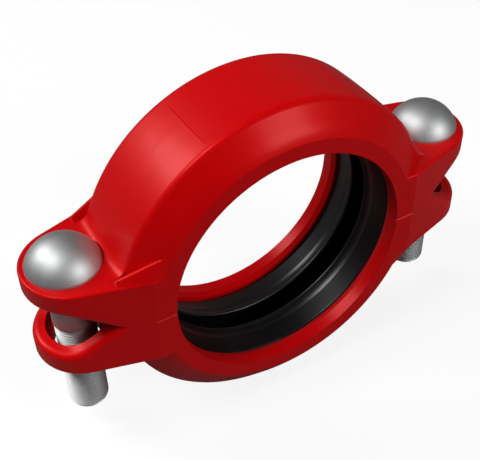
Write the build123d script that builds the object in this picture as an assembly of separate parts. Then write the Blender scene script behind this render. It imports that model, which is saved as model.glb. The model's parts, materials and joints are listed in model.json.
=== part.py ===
from build123d import *
import os
from math import cos, radians, sin, tan

# Rigid coupling for two grooved pipe ends: two like castings close round a rubber ring,
# and two dome-headed bolts stand through their ears. Millimetres, +Z up.
# The origin is the middle of the bore. The pipe runs along Y, the bolts stand along Z,
# the ears reach out along X, and the castings part on the plane z = 0.

# Keys, the two inner edges that sit in the grooves of the pipes
key_radius = 42.7
key_width = 6.4
key_land = 4.4
key_lead = 0.85

# Ring of the casting: its wall over the rubber, and its flanks from the crown to the faces
body_width = 44.4
cavity_depth = 10.9
cavity_corner = 3.0
crown_wall = 5.2
crown_camber = 0.35
crown_corner = 3.0
slope_drop = 5.55
slope_run = 4.35
edge_drop = 4.9
edge_run = 2.9

# Shallow blank panel across the middle of the crown
panel_half_angle = 25.5
panel_depth = 0.25
panel_slope = 45.0

# Ears
bolt_gap = 10.6
pad_height = 17.4
pad_blend = 4.5
ear_end_offset = 3.0
ear_end_radius = 16.9
ear_taper = 15.5
ear_top_round = 0.8
ear_rim_round = 2.4

# Relief under the ear, so that the two ears touch at the heel alone
relief_inset = 8.8
relief_depth = 9.4
relief_angle = 33.6
relief_blend = 14.0

# Pocket cored into the underside of the ear
pocket_wall = 4.4
pocket_floor = 4.0
pocket_heel = 2.0
pocket_corner = 4.0
pocket_floor_round = 1.0

# Gussets between the pad and the flank of the ring
gusset_length = 16.1
gusset_toe_inset = 9.8
gusset_rise = 7.7
gusset_toe_rise = 1.8
gusset_toe_lean = 2.35
gusset_spread = 4.2
gusset_flank = 47.0
gusset_round = 0.8

# Groove that shows where the castings part
parting_groove = 0.3

# Bolts
shank_radius = 7.1
thread_radius = 6.85
bolt_length = 63.5
thread_length = 39.2
thread_chamfer = 1.0
head_radius = 12.0
head_height = 9.0
head_edge = 0.8
hole_clearance = 0.6
seat_clearance = 0.5

# Rubber ring
gasket_clearance = 0.2
gasket_lip_reach = 0.8
gasket_lip_lean = 2.7
gasket_lip_gap = 7.2
gasket_nose = 1.6
gasket_back = 3.6
gasket_side = 3.4
gasket_throat = 3.0
gasket_heel_round = 2.0
gasket_tip_round = 0.6
gasket_crest = 0.9
gasket_groove = 3.5
gasket_groove_depth = 0.3

# Sizes that follow from the ones above
half_width = body_width / 2
cavity_radius = key_radius + cavity_depth
cavity_half = half_width - key_width
crown_radius = cavity_radius + crown_wall
crown_edge_radius = crown_radius - crown_camber
slope_radius = crown_edge_radius - slope_drop
face_radius = slope_radius - edge_drop
slope_half = half_width - edge_run
crown_half = slope_half - slope_run
bolt_offset = crown_radius + bolt_gap
hole_radius = shank_radius + hole_clearance
seat_radius = head_radius + seat_clearance
ear_end_x = bolt_offset - ear_end_offset
ear_tip_x = ear_end_x + ear_end_radius
ear_touch_x = ear_end_x + ear_end_radius * sin(radians(ear_taper))
ear_touch_y = ear_end_radius * cos(radians(ear_taper))
ear_root_x = ear_touch_x - (half_width - ear_touch_y) / tan(radians(ear_taper))
relief_start = bolt_offset - relief_inset


def at_radius(radius):
    """Test that picks the corners of a ring's section which lie at a radius."""
    return lambda corner: abs(corner.X - radius) < 0.001


def flat_at(height):
    """Test that picks the edges which lie flat at a height."""
    def lies_flat(edge):
        box = edge.bounding_box()
        return abs(box.min.Z - height) < 0.001 and abs(box.max.Z - height) < 0.001
    return lies_flat


def upper_half(solid):
    """The part of a solid that lies above the plane where the castings part."""
    return solid & Pos(0, 0, bolt_offset) * Box(4 * bolt_offset, 4 * bolt_offset, 2 * bolt_offset)


def crown_arc():
    """Slightly cambered line across half of the crown, from its middle to its edge."""
    middle = (crown_radius, 0)
    between = (crown_radius - crown_camber / 4, crown_half / 2)
    return ThreePointArc(middle, between, (crown_edge_radius, crown_half))


def ring_outline():
    """Outside of the casting's ring in section, filled in to the bore's axis."""
    slope_angle = Vector(-slope_drop, slope_run)
    with BuildSketch() as section:
        with BuildLine():
            crown_arc()
            Line((crown_edge_radius, crown_half), (slope_radius, slope_half))
            TangentArc((slope_radius, slope_half), (face_radius, half_width), tangent=slope_angle)
            Line((face_radius, half_width), (0, half_width))
            Line((0, half_width), (0, 0))
            mirror(about=Plane.XZ)
        make_face()
        fillet(section.vertices().filter_by(at_radius(crown_edge_radius)), crown_corner)
    return section.sketch


def ring_inside():
    """Bore, keys and the room for the rubber ring, as one section to cut."""
    key_face = (key_radius + key_lead, cavity_half)
    land_end = (key_radius, half_width - key_land)
    with BuildSketch() as section:
        with BuildLine():
            Polyline((cavity_radius, 0), (cavity_radius, cavity_half), key_face, land_end)
            Polyline(land_end, (key_radius, body_width), (0, body_width), (0, 0))
            mirror(about=Plane.XZ)
        make_face()
        fillet(section.vertices().filter_by(at_radius(cavity_radius)), cavity_corner)
    return section.sketch


def ear_wall(x):
    """Half the width of the ear at x, along its tapering side."""
    return min(half_width, ear_touch_y + (ear_touch_x - x) * tan(radians(ear_taper)))


def ear_plan():
    """Both ears seen from above, tapering from the ring's faces to round ends."""
    with BuildSketch() as plan:
        with BuildLine():
            Polyline((0, half_width), (ear_root_x, half_width), (ear_touch_x, ear_touch_y))
            ThreePointArc((ear_touch_x, ear_touch_y), (ear_tip_x, 0), (ear_touch_x, -ear_touch_y))
            Polyline((ear_touch_x, -ear_touch_y), (ear_root_x, -half_width), (0, -half_width))
            mirror(about=Plane.YZ)
        make_face()
    return plan.sketch


def ears():
    """Both ears as one bar that crosses the ring, with rounded rims above and below."""
    bar = extrude(ear_plan(), pad_height)
    bar = fillet(bar.edges().filter_by(flat_at(pad_height)), ear_top_round) - relief()

    def on_rim(edge):
        middle = edge.center()
        return abs(middle.X) > max(relief_start, ear_root_x) and 0.001 < middle.Z < relief_depth + 0.001
    return fillet(bar.edges().filter_by(on_rim).filter_by(Axis.Y, reverse=True), ear_rim_round)


def ring_on_pads():
    """Ring of the casting, with a hollow blend where its crown stands on the pads."""
    ring = upper_half(revolve(ring_outline(), Axis.Y, 360))
    middle = Box(4 * bolt_offset, 2 * crown_half, 4 * bolt_offset)
    pads = ear_plan() & Rectangle(2 * crown_radius + 2 * pad_blend, 2 * crown_half)
    foot = (ring & middle) + Pos(0, 0, relief_depth) * extrude(pads, pad_height - relief_depth)

    def on_seam(edge):
        return abs(edge.center().X) < crown_radius and abs(edge.center().Y) < crown_half - 0.001
    return ring + fillet(foot.edges().filter_by(flat_at(pad_height)).filter_by(on_seam), pad_blend)


def relief():
    """Wedge of air under both ears, from the heel outwards."""
    far = ear_tip_x + relief_depth
    knee_x = relief_start + relief_depth / tan(radians(relief_angle))
    with BuildSketch(Plane.XZ) as side:
        with BuildLine():
            Polyline(
                (relief_start - relief_depth, 0),
                (relief_start, 0),
                (knee_x, relief_depth),
                (far, relief_depth),
                (far, -relief_depth),
                (relief_start - relief_depth, -relief_depth),
                close=True,
            )
        make_face()
        fillet(side.vertices().sort_by_distance((knee_x, 0, relief_depth))[0], relief_blend)
    wedge = extrude(side.sketch, body_width, both=True)
    return wedge + mirror(wedge, about=Plane.YZ)


def pockets():
    """Cores that leave a rim and a floor in each ear."""
    heel_x = relief_start + pocket_heel
    reach = ear_tip_x - heel_x + pocket_wall
    ear_end = ear_plan() & Pos(ear_tip_x - reach / 2, 0) * Rectangle(reach, body_width)
    inner = offset(ear_end, -pocket_wall - pocket_corner)
    core = extrude(offset(inner, pocket_corner), pad_height - pocket_floor)
    core = fillet(core.edges().group_by(Axis.Z)[-1], pocket_floor_round)
    return core + mirror(core, about=Plane.YZ)


def gusset_section(x, toe_x):
    """Section of a gusset across the pipe's run: one ridge between two leaning flanks."""
    share = (toe_x - x) / gusset_length
    rise = gusset_toe_rise + share * (gusset_rise - gusset_toe_rise)
    wall = ear_wall(x)
    ridge = ear_wall(toe_x) - gusset_toe_lean + share * gusset_spread
    foot = ridge - rise / tan(radians(gusset_flank))
    with BuildSketch(Plane(origin=(x, 0, 0), x_dir=(0, 1, 0), z_dir=(1, 0, 0))) as section:
        Polygon(
            (wall, relief_depth),
            (wall, pad_height - ear_top_round),
            (ridge, pad_height + rise),
            (foot, pad_height),
            (foot, relief_depth),
            align=None,
        )
    return section.sketch
def gussets():
    """Four ribs with leaning flanks that run from the pads up to the ring's flanks."""
    toe_x = bolt_offset - gusset_toe_inset
    root_x = toe_x - gusset_length
    stations = [x for x in (root_x, ear_root_x, toe_x) if root_x <= x <= toe_x]
    rib = loft([gusset_section(x, toe_x) for x in stations], ruled=True)

    def on_ridge(edge):
        middle = edge.center()
        clear_of_ends = root_x + 0.001 < middle.X < toe_x - 0.001
        return clear_of_ends and middle.Z > pad_height + gusset_toe_rise / 4
    rib = fillet(rib.edges().filter_by(on_ridge), gusset_round)
    pair = rib + mirror(rib, about=Plane.XZ)
    return pair + mirror(pair, about=Plane.YZ)


def crown_panel():
    """Shell of air that sinks the blank panel into the crown, with sloping ends."""
    edge = radians(panel_half_angle)
    slope = radians(panel_half_angle + panel_slope)
    floor_radius = crown_radius - panel_depth
    corner_x, corner_z = floor_radius * sin(edge), floor_radius * cos(edge)
    far_x, far_z = corner_x + crown_radius * sin(slope), corner_z + crown_radius * cos(slope)
    with BuildSketch(Plane.XZ) as sector:
        Polygon((0, 0), (-corner_x, corner_z), (-far_x, far_z), (far_x, far_z), (corner_x, corner_z), align=None)
        Circle(floor_radius, mode=Mode.SUBTRACT)
    return extrude(sector.sketch, crown_half, both=True)


def parting_grooves():
    """Square bars on edge that bevel the castings' ends along both faces."""
    side = parting_groove * 2 ** 0.5
    front, back = (Pos(0, s * half_width, 0) * Rot(45, 0, 0) * Box(2 * ear_tip_x, side, side) for s in (1, -1))
    return front + back


def bolt_places():
    """Where the bolts' heads sit: the middle of each pad's top."""
    return [Pos(side * bolt_offset, 0, pad_height) for side in (-1, 1)]


def upper_housing():
    """Upper casting: half a ring with its ears and gussets, and every cut through them."""
    casting = ring_on_pads() + ears() + gussets() - revolve(ring_inside(), Axis.Y, 360)
    casting -= pockets()
    casting -= crown_panel()
    casting -= parting_grooves()
    hole = Cylinder(hole_radius, 2 * pad_height)
    seat = Cylinder(seat_radius, crown_radius, align=(Align.CENTER, Align.CENTER, Align.MIN))
    for place in bolt_places():
        casting -= place * Pos(0, 0, -pad_height) * hole
        casting -= place * seat
    return casting.solid()


def gasket_section():
    """C of rubber that opens to the bore, with its two lips leaning towards the middle."""
    outer = cavity_radius - gasket_clearance
    inside = outer - gasket_back
    side = cavity_half - gasket_clearance
    wall = side - gasket_side
    lip_radius = key_radius - gasket_lip_reach
    lip_y = gasket_lip_gap / 2
    heel_radius = lip_radius + gasket_lip_lean
    back_radius = lip_radius + gasket_nose

    def on_lip(run, depth=0.0):
        return (lip_radius + gasket_lip_lean * run / (side - lip_y) + depth, lip_y + run)
    groove_start, groove_end = on_lip(gasket_crest), on_lip(gasket_crest + gasket_groove)
    groove_floor = on_lip(gasket_crest + gasket_groove / 2, gasket_groove_depth)
    with BuildSketch() as section:
        with BuildLine():
            Polyline((inside, 0), (inside, wall), (heel_radius + gasket_throat, wall), (back_radius, lip_y))
            Polyline((back_radius, lip_y), (lip_radius, lip_y), groove_start)
            ThreePointArc(groove_start, groove_floor, groove_end)
            Polyline(groove_end, (heel_radius, side), (outer, side), (outer, 0))
            mirror(about=Plane.XZ)
        make_face()
        fillet(section.vertices().filter_by(at_radius(outer)), cavity_corner - gasket_clearance)
        fillet(section.vertices().filter_by(at_radius(heel_radius)), gasket_heel_round)
        for radius in (lip_radius, back_radius):
            fillet(section.vertices().filter_by(at_radius(radius)), gasket_tip_round)
    return section.sketch


def gasket():
    """Rubber ring that fills the room between the keys."""
    return revolve(gasket_section(), Axis.Y, 360).solid()


def bolt():
    """Dome head on a plain shank with a slimmer threaded end; the head's seat is z = 0."""
    dome_rise = head_height - head_edge
    dome_radius = (head_radius ** 2 + dome_rise ** 2) / (2 * dome_rise)
    mid_x = head_radius / 2
    mid_z = head_height - dome_radius + (dome_radius ** 2 - mid_x ** 2) ** 0.5
    thread_top = thread_length - bolt_length
    with BuildSketch(Plane.XZ) as section:
        with BuildLine():
            Polyline(
                (0, head_height),
                (0, -bolt_length),
                (thread_radius - thread_chamfer, -bolt_length),
                (thread_radius, thread_chamfer - bolt_length),
                (thread_radius, thread_top),
                (shank_radius, thread_top + shank_radius - thread_radius),
                (shank_radius, 0),
                (head_radius, 0),
                (head_radius, head_edge),
            )
            ThreePointArc((head_radius, head_edge), (mid_x, mid_z), (0, head_height))
        make_face()
    return revolve(section.sketch, Axis.Z, 360).solid()


os.makedirs("parts", exist_ok=True)
upper = upper_housing()
pieces = {"upper_housing": upper, "lower_housing": Rot(0, 180, 0) * upper, "gasket": gasket()}
for name, place in zip(("bolt_left", "bolt_right"), bolt_places()):
    pieces[name] = place * bolt()
for name, piece in pieces.items():
    export_step(piece, f"parts/{name}.step")
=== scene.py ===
import json
from math import cos, floor, pi, radians, sin, tau

import bmesh
import bpy
from mathutils import Matrix, Vector


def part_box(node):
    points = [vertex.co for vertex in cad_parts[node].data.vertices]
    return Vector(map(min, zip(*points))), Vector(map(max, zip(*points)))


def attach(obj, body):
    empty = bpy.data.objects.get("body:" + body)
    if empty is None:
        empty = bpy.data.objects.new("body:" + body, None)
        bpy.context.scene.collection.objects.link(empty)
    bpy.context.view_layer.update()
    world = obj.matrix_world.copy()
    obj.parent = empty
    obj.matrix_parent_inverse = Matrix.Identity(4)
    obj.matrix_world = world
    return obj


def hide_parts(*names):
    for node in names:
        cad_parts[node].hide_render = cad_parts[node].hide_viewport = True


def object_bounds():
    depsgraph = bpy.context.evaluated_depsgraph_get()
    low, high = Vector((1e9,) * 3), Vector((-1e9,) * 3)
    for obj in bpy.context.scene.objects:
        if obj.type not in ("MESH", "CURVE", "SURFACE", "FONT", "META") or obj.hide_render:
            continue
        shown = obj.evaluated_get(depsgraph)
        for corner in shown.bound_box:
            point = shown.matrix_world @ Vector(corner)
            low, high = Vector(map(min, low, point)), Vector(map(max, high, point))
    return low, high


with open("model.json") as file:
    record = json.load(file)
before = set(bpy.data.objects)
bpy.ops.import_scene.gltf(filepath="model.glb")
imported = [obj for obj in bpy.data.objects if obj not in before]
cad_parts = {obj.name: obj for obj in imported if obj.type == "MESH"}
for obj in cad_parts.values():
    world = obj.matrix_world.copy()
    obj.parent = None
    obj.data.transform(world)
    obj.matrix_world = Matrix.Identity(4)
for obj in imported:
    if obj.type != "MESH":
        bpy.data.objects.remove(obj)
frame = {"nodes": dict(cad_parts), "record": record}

cad_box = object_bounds()
MM = 0.001

# Camera, where the photograph was taken from. The sensor and the lens are in millimetres.
CAMERA_PLACE = Vector((-119.98, -200.37, 207.52)) * MM
CAMERA_YAW = radians(-29.38)
CAMERA_PITCH = radians(41.83)
CAMERA_ROLL = radians(-1.32)
CAMERA_LENS = 67.72
SENSOR_WIDTH = 36
NEAREST_SEEN = 10 * MM

# Lamps: direction in degrees, width in metres, and light as a share of full light
LAMP_DISTANCE = 1.2
LAMPS = {
    "back_box": {"azimuth": 134, "elevation": 39, "width": 0.45, "share": 0.56},
    "top_box": {"azimuth": 186, "elevation": 61, "width": 0.4, "share": 0.52},
    "front_box": {"azimuth": -62, "elevation": 28, "width": 0.45, "share": 0.54},
}

# Studio: the room's light, the room as gloss reflects it, and the floor
ROOM_LIGHT = 0.03
MIRRORED_ROOM = 0.1
FLOOR_GLOW = 0.85
FLOOR_WIDTH = 8.0

# Grain of the finishes
CAST_WAVES = 5 * MM
ORANGE_PEEL = 1.1 * MM
RUBBER_BLOOM = 6 * MM
RUBBER_GRAIN = 0.6 * MM
ZINC_CLOUDS = 4 * MM

# Bolts
SHANK_RADIUS = 7.1 * MM
HEAD_EDGE = 0.8 * MM
HEAD_HEIGHT = 9.0 * MM
THREAD_PITCH = 1.25 * MM
THREAD_DEPTH = 0.56 * THREAD_PITCH
THREAD_CHAMFER = 1.0 * MM

# Thread profile, as shares of the pitch. The second flank takes the rest.
CREST_SHARE = 0.125
FLANK_SHARE = 0.3125
ROOT_SHARE = 0.25

# Fineness of the bolts' mesh. The spare turns let the thread run out past both ends.
BOLT_STEPS = 96
DOME_STEPS = 28
SPARE_TURNS = 3
MERGE_WITHIN = 0.001 * MM
SHARP_EDGE = radians(28)


# Nodes and colours

def linear(hex_colour):
    """The colour that a shader needs for an sRGB hex value."""
    parts = [int(hex_colour[i:i + 2], 16) / 255 for i in (1, 3, 5)]
    return [p / 12.92 if p <= 0.04045 else ((p + 0.055) / 1.055) ** 2.4 for p in parts] + [1]


def add_node(tree, kind, values):
    """Adds a shader node. A value that is an output is linked, and any other is set."""
    node = tree.nodes.new(kind)
    for name, value in values.items():
        if isinstance(name, str) and name not in node.inputs:
            setattr(node, name, value)
        elif isinstance(value, bpy.types.NodeSocket):
            tree.links.new(value, node.inputs[name])
        else:
            node.inputs[name].default_value = value
    return node


def new_material(name):
    """An empty node material, with its tree and its output node."""
    material = bpy.data.materials.new(name)
    material.use_nodes = True
    material.node_tree.nodes.clear()
    return material, material.node_tree, material.node_tree.nodes.new("ShaderNodeOutputMaterial")


# Materials

def red_enamel():
    """Sprayed alkyd enamel on ductile iron: glossy, with the softness of the sand-cast skin below."""
    material, tree, output = new_material("red_enamel_on_cast_iron")
    place = tree.nodes.new("ShaderNodeTexCoord").outputs["Object"]
    # The sand's own grain is too fine to show, so the cast skin is drawn as wider waves
    skin = add_node(tree, "ShaderNodeTexNoise", {"Vector": place, "Scale": 1 / CAST_WAVES, "Detail": 3.0})
    peel = add_node(tree, "ShaderNodeTexNoise", {"Vector": place, "Scale": 1 / ORANGE_PEEL, "Detail": 2.0})
    paint = add_node(tree, "ShaderNodeValToRGB", {"Fac": skin.outputs["Fac"]})
    paint.color_ramp.elements[0].color = linear("#BE0206")
    paint.color_ramp.elements[1].color = linear("#C60408")
    gloss = add_node(tree, "ShaderNodeMapRange", {
        "Value": peel.outputs["Fac"], "To Min": 0.38, "To Max": 0.42})
    edges = add_node(tree, "ShaderNodeBevel", {"samples": 6, "Radius": 0.3 * MM})
    waves = add_node(tree, "ShaderNodeBump", {
        "Height": skin.outputs["Fac"], "Distance": 0.05 * MM, "Strength": 1.0,
        "Normal": edges.outputs["Normal"]})
    grain = add_node(tree, "ShaderNodeBump", {
        "Height": peel.outputs["Fac"], "Distance": 0.006 * MM, "Strength": 1.0,
        "Normal": waves.outputs["Normal"]})
    surface = add_node(tree, "ShaderNodeBsdfPrincipled", {
        "Base Color": paint.outputs["Color"], "Roughness": gloss.outputs["Result"], "IOR": 1.6,
        "Specular Tint": linear("#FF3030"), "Coat Weight": 0.08, "Coat Roughness": 0.22,
        "Normal": grain.outputs["Normal"]})
    tree.links.new(surface.outputs["BSDF"], output.inputs["Surface"])
    return material


def black_rubber():
    """Moulded EPDM: near black, with the satin face that a polished mould leaves."""
    material, tree, output = new_material("moulded_epdm_rubber")
    place = tree.nodes.new("ShaderNodeTexCoord").outputs["Object"]
    bloom = add_node(tree, "ShaderNodeTexNoise", {"Vector": place, "Scale": 1 / RUBBER_BLOOM, "Detail": 4.0})
    # The mould's own grain is too fine to show, and is drawn coarser
    grain = add_node(tree, "ShaderNodeTexNoise", {"Vector": place, "Scale": 1 / RUBBER_GRAIN, "Detail": 2.0})
    tone = add_node(tree, "ShaderNodeValToRGB", {"Fac": bloom.outputs["Fac"]})
    tone.color_ramp.elements[0].color = linear("#060607")
    tone.color_ramp.elements[1].color = linear("#0C0C0D")
    gloss = add_node(tree, "ShaderNodeMapRange", {
        "Value": bloom.outputs["Fac"], "To Min": 0.33, "To Max": 0.38})
    bump = add_node(tree, "ShaderNodeBump", {
        "Height": grain.outputs["Fac"], "Distance": 0.005 * MM, "Strength": 1.0})
    surface = add_node(tree, "ShaderNodeBsdfPrincipled", {
        "Base Color": tone.outputs["Color"], "Roughness": gloss.outputs["Result"], "IOR": 1.48,
        "Normal": bump.outputs["Normal"]})
    tree.links.new(surface.outputs["BSDF"], output.inputs["Surface"])
    return material


def zinc_steel():
    """Zinc-plated carbon steel, forged and barrel-plated: a soft grey metal with blurred highlights."""
    material, tree, output = new_material("zinc_plated_steel")
    place = tree.nodes.new("ShaderNodeTexCoord").outputs["Object"]
    cloud = add_node(tree, "ShaderNodeTexNoise", {"Vector": place, "Scale": 1 / ZINC_CLOUDS, "Detail": 4.0})
    tone = add_node(tree, "ShaderNodeValToRGB", {"Fac": cloud.outputs["Fac"]})
    tone.color_ramp.elements[0].color = linear("#AEB0B0")
    tone.color_ramp.elements[1].color = linear("#BCBDBD")
    gloss = add_node(tree, "ShaderNodeMapRange", {
        "Value": cloud.outputs["Fac"], "To Min": 0.52, "To Max": 0.58})
    bump = add_node(tree, "ShaderNodeBump", {
        "Height": cloud.outputs["Fac"], "Distance": 0.012 * MM, "Strength": 1.0})
    surface = add_node(tree, "ShaderNodeBsdfPrincipled", {
        "Base Color": tone.outputs["Color"], "Metallic": 1.0, "Roughness": gloss.outputs["Result"],
        "Normal": bump.outputs["Normal"]})
    tree.links.new(surface.outputs["BSDF"], output.inputs["Surface"])
    return material


def pale_floor():
    """White studio floor: the camera sees it glow with its shadow, and other rays find it dull grey."""
    material, tree, output = new_material("white_studio_floor")
    rays = tree.nodes.new("ShaderNodeLightPath").outputs
    matt = add_node(tree, "ShaderNodeBsdfDiffuse", {"Color": linear("#FFFFFF")})
    glow = add_node(tree, "ShaderNodeEmission", {"Color": linear("#FFFFFF"), "Strength": 1.0})
    dull = add_node(tree, "ShaderNodeBsdfDiffuse", {"Color": linear("#6A6A6A")})
    white = add_node(tree, "ShaderNodeMixShader", {
        "Fac": FLOOR_GLOW, 1: matt.outputs["BSDF"], 2: glow.outputs["Emission"]})
    mix = add_node(tree, "ShaderNodeMixShader", {
        "Fac": rays["Is Camera Ray"], 1: dull.outputs["BSDF"], 2: white.outputs["Shader"]})
    tree.links.new(mix.outputs["Shader"], output.inputs["Surface"])
    return material


# Bolts

def dome_profile(head_radius, seat):
    """Points of (radius, height) down the dome of a bolt's head, from its top to its edge."""
    rise = HEAD_HEIGHT - HEAD_EDGE
    dome_radius = (head_radius ** 2 + rise ** 2) / (2 * rise)
    dome = []
    for i in range(DOME_STEPS + 1):
        radius = head_radius * sin(0.5 * pi * i / DOME_STEPS)
        dome.append((radius, seat + HEAD_HEIGHT - dome_radius + (dome_radius ** 2 - radius ** 2) ** 0.5))
    return dome


def revolved(mesh, profile):
    """Adds the surface that a profile of (radius, height) points sweeps round the bolt's axis."""
    angles = [tau * j / BOLT_STEPS for j in range(BOLT_STEPS)]
    rows = []
    for radius, height in profile:
        if radius == 0:
            rows.append([mesh.verts.new((0, 0, height))] * BOLT_STEPS)
        else:
            rows.append([mesh.verts.new((radius * cos(a), radius * sin(a), height)) for a in angles])
    for upper, lower in zip(rows, rows[1:]):
        for j in range(BOLT_STEPS):
            k = (j + 1) % BOLT_STEPS
            corners = list(dict.fromkeys((upper[j], lower[j], lower[k], upper[k])))
            mesh.faces.new(corners)


def threaded(mesh, crest, top, tip):
    """Adds the helical thread between two heights, chamfered at its tip."""
    root = crest - THREAD_DEPTH
    stations = [
        (0.0, crest), (CREST_SHARE, crest),
        (CREST_SHARE + FLANK_SHARE, root), (CREST_SHARE + FLANK_SHARE + ROOT_SHARE, root)]
    per_pitch = len(stations)
    turns = floor((top - tip) / THREAD_PITCH) + SPARE_TURNS
    columns = []
    for j in range(BOLT_STEPS):
        turn = j / BOLT_STEPS
        angle = tau * turn
        column = []
        for k in range(turns * per_pitch + 1):
            share, radius = stations[k % per_pitch]
            height = top + THREAD_PITCH * (1 - turn - k // per_pitch - share)
            if height > top:
                height, radius = top, crest
            height = max(height, tip)
            radius = min(radius, crest - THREAD_CHAMFER + height - tip)
            column.append(mesh.verts.new((radius * cos(angle), radius * sin(angle), height)))
        columns.append(column)
    last = turns * per_pitch
    for j, here in enumerate(columns):
        there = columns[(j + 1) % BOLT_STEPS]
        shift = per_pitch if here is columns[-1] else 0
        for k in range(last):
            a, b = min(k + shift, last), min(k + 1 + shift, last)
            corners = list(dict.fromkeys((here[k], here[k + 1], there[b], there[a])))
            if len(corners) > 2:
                mesh.faces.new(corners)


def bolt_mesh(name, head_radius, seat, crest, thread_top, tip):
    """Closed mesh of a dome-headed bolt round its own axis."""
    mesh = bmesh.new()
    profile = dome_profile(head_radius, seat)
    profile.append((head_radius, seat))
    profile.append((SHANK_RADIUS, seat))
    profile.append((SHANK_RADIUS, thread_top + SHANK_RADIUS - crest))
    profile.append((crest, thread_top))
    revolved(mesh, profile)
    threaded(mesh, crest, thread_top, tip)
    bmesh.ops.remove_doubles(mesh, verts=mesh.verts, dist=MERGE_WITHIN)
    open_tip = [edge for edge in mesh.edges if edge.is_boundary]
    bmesh.ops.holes_fill(mesh, edges=open_tip, sides=0)
    bmesh.ops.recalc_face_normals(mesh, faces=mesh.faces)
    data = bpy.data.meshes.new(name)
    mesh.to_mesh(data)
    mesh.free()
    data.shade_smooth()
    data.set_sharp_from_angle(angle=SHARP_EDGE)
    return data


def bolt(node, finish):
    """A dome-headed bolt with a real thread, in place of the plain one in the frame."""
    low, high = (Vector(corner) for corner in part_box(node))
    mount = next(m for m in frame["record"]["mounts"] if m["name"] == node.replace("bolt", "bolt_end"))
    length = mount["dims"]["length_mm"] * MM
    data = bolt_mesh(
        node + "_threaded",
        head_radius=(high.x - low.x) / 2,
        seat=high.z - HEAD_HEIGHT,
        crest=mount["dims"]["r_mm"] * MM,
        thread_top=mount["pos_m"][2] + length / 2,
        tip=low.z)
    data.transform(Matrix.Translation(((low.x + high.x) / 2, 0, 0)))
    data.materials.append(finish)
    piece = bpy.data.objects.new(node + "_threaded", data)
    bpy.context.collection.objects.link(piece)
    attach(piece, "root")
    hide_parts(node)


# Studio

def studio_floor():
    """Floor that the coupling stands on, wide enough to fill the view."""
    low = cad_box[0]
    bpy.ops.mesh.primitive_plane_add(size=FLOOR_WIDTH, location=(0, 0, low[2]))
    floor_plane = bpy.context.object
    floor_plane.name = "studio_floor"
    floor_plane.data.materials.append(pale_floor())


def soft_box(name, azimuth, elevation, width, share):
    """Square area lamp that points at the bore. At a share of 1 it shows a colour about as written."""
    turn, rise = radians(azimuth), radians(elevation)
    away = Vector((cos(turn) * cos(rise), sin(turn) * cos(rise), sin(rise)))
    lamp = bpy.data.lights.new(name, "AREA")
    lamp.shape = "SQUARE"
    lamp.size = width
    lamp.energy = share * pi ** 2 * LAMP_DISTANCE ** 2
    holder = bpy.data.objects.new(name, lamp)
    holder.location = away * LAMP_DISTANCE
    holder.rotation_euler = away.to_track_quat("Z", "Y").to_euler()
    bpy.context.collection.objects.link(holder)


def studio_world():
    """White for the camera, a dim room in reflections, and faint even light elsewhere."""
    world = bpy.data.worlds.new("studio")
    world.use_nodes = True
    tree = world.node_tree
    tree.nodes.clear()
    rays = tree.nodes.new("ShaderNodeLightPath").outputs
    room = add_node(tree, "ShaderNodeBackground", {"Color": linear("#FFFFFF"), "Strength": ROOM_LIGHT})
    mirrored = add_node(tree, "ShaderNodeBackground", {"Color": linear("#FFFFFF"), "Strength": MIRRORED_ROOM})
    white = add_node(tree, "ShaderNodeBackground", {"Color": linear("#FFFFFF"), "Strength": 1.0})
    gloss_or_glass = add_node(tree, "ShaderNodeMath", {
        "operation": "MAXIMUM", 0: rays["Is Glossy Ray"], 1: rays["Is Transmission Ray"]})
    unseen = add_node(tree, "ShaderNodeMixShader", {
        "Fac": gloss_or_glass.outputs["Value"], 1: room.outputs["Background"],
        2: mirrored.outputs["Background"]})
    seen = add_node(tree, "ShaderNodeMixShader", {
        "Fac": rays["Is Camera Ray"], 1: unseen.outputs["Shader"], 2: white.outputs["Background"]})
    output = tree.nodes.new("ShaderNodeOutputWorld")
    tree.links.new(seen.outputs["Shader"], output.inputs["Surface"])
    bpy.context.scene.world = world


def photo_camera():
    """Camera at the photograph's place, angle and lens."""
    back = Vector((
        sin(CAMERA_YAW) * cos(CAMERA_PITCH), -cos(CAMERA_YAW) * cos(CAMERA_PITCH), sin(CAMERA_PITCH)))
    level = Vector((cos(CAMERA_YAW), sin(CAMERA_YAW), 0))
    upright = back.cross(level)
    right = level * cos(CAMERA_ROLL) + upright * sin(CAMERA_ROLL)
    up = upright * cos(CAMERA_ROLL) - level * sin(CAMERA_ROLL)
    data = bpy.data.cameras.new("photo_camera")
    data.sensor_width = SENSOR_WIDTH
    data.lens = CAMERA_LENS
    data.clip_start = NEAREST_SEEN
    camera = bpy.data.objects.new("photo_camera", data)
    turned = Matrix((right, up, back)).transposed().to_4x4()
    camera.matrix_world = Matrix.Translation(CAMERA_PLACE) @ turned
    bpy.context.collection.objects.link(camera)
    bpy.context.scene.camera = camera


# The coupling

enamel = red_enamel()
rubber = black_rubber()
zinc = zinc_steel()
for node, finish in (("upper_housing", enamel), ("lower_housing", enamel), ("gasket", rubber)):
    for material_slot in frame["nodes"][node].material_slots:
        material_slot.material = finish
for node in ("bolt_left", "bolt_right"):
    bolt(node, zinc)

# The studio

studio_floor()
for name, settings in LAMPS.items():
    soft_box(name, **settings)
studio_world()
photo_camera()
bpy.context.scene.view_settings.view_transform = "Standard"
